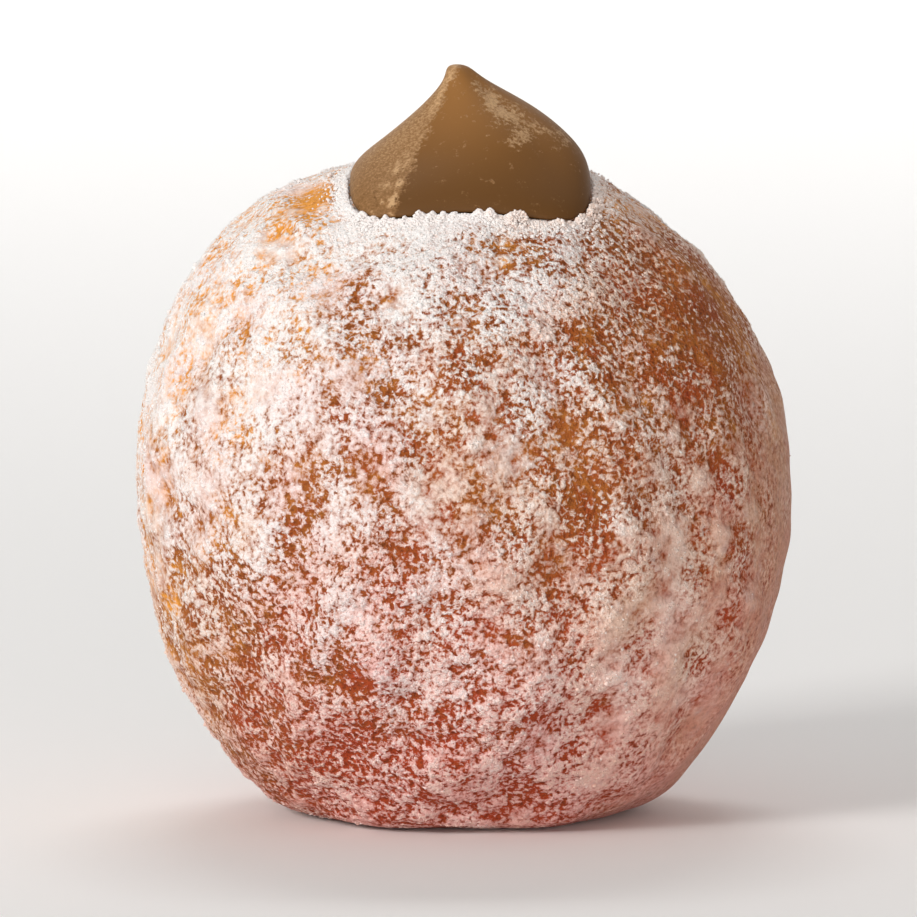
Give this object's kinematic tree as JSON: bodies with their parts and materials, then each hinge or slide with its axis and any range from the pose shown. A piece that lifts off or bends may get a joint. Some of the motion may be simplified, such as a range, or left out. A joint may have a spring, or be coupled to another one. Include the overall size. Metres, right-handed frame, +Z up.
{
  "type": "mini doughnut",
  "caption": "Ball-shaped filled mini doughnut with a sugar-dusted fried crust and a piped dollop of brown cream standing out of the filling hole on its top.",
  "frame": {"origin": "bottom centre of the bounding box, on the surface that the doughnut rests on, under the middle of its flat spot", "axes": "+Z up through the filling hole and the cream's tip; -Y is the side shown in the picture; +X to the right in that view"},
  "size_m": [0.0562, 0.05, 0.0646],
  "materials": {
    "sugared_crust": "golden-brown fried dough under a patchy dusting of powdered sugar, matte",
    "brown_cream": "smooth milk-chocolate-brown cream, satin, with paler dry patches"
  },
  "bodies": {
    "root": {"doughnut": "sugared_crust", "cream": "brown_cream"}
  },
  "joints": []
}
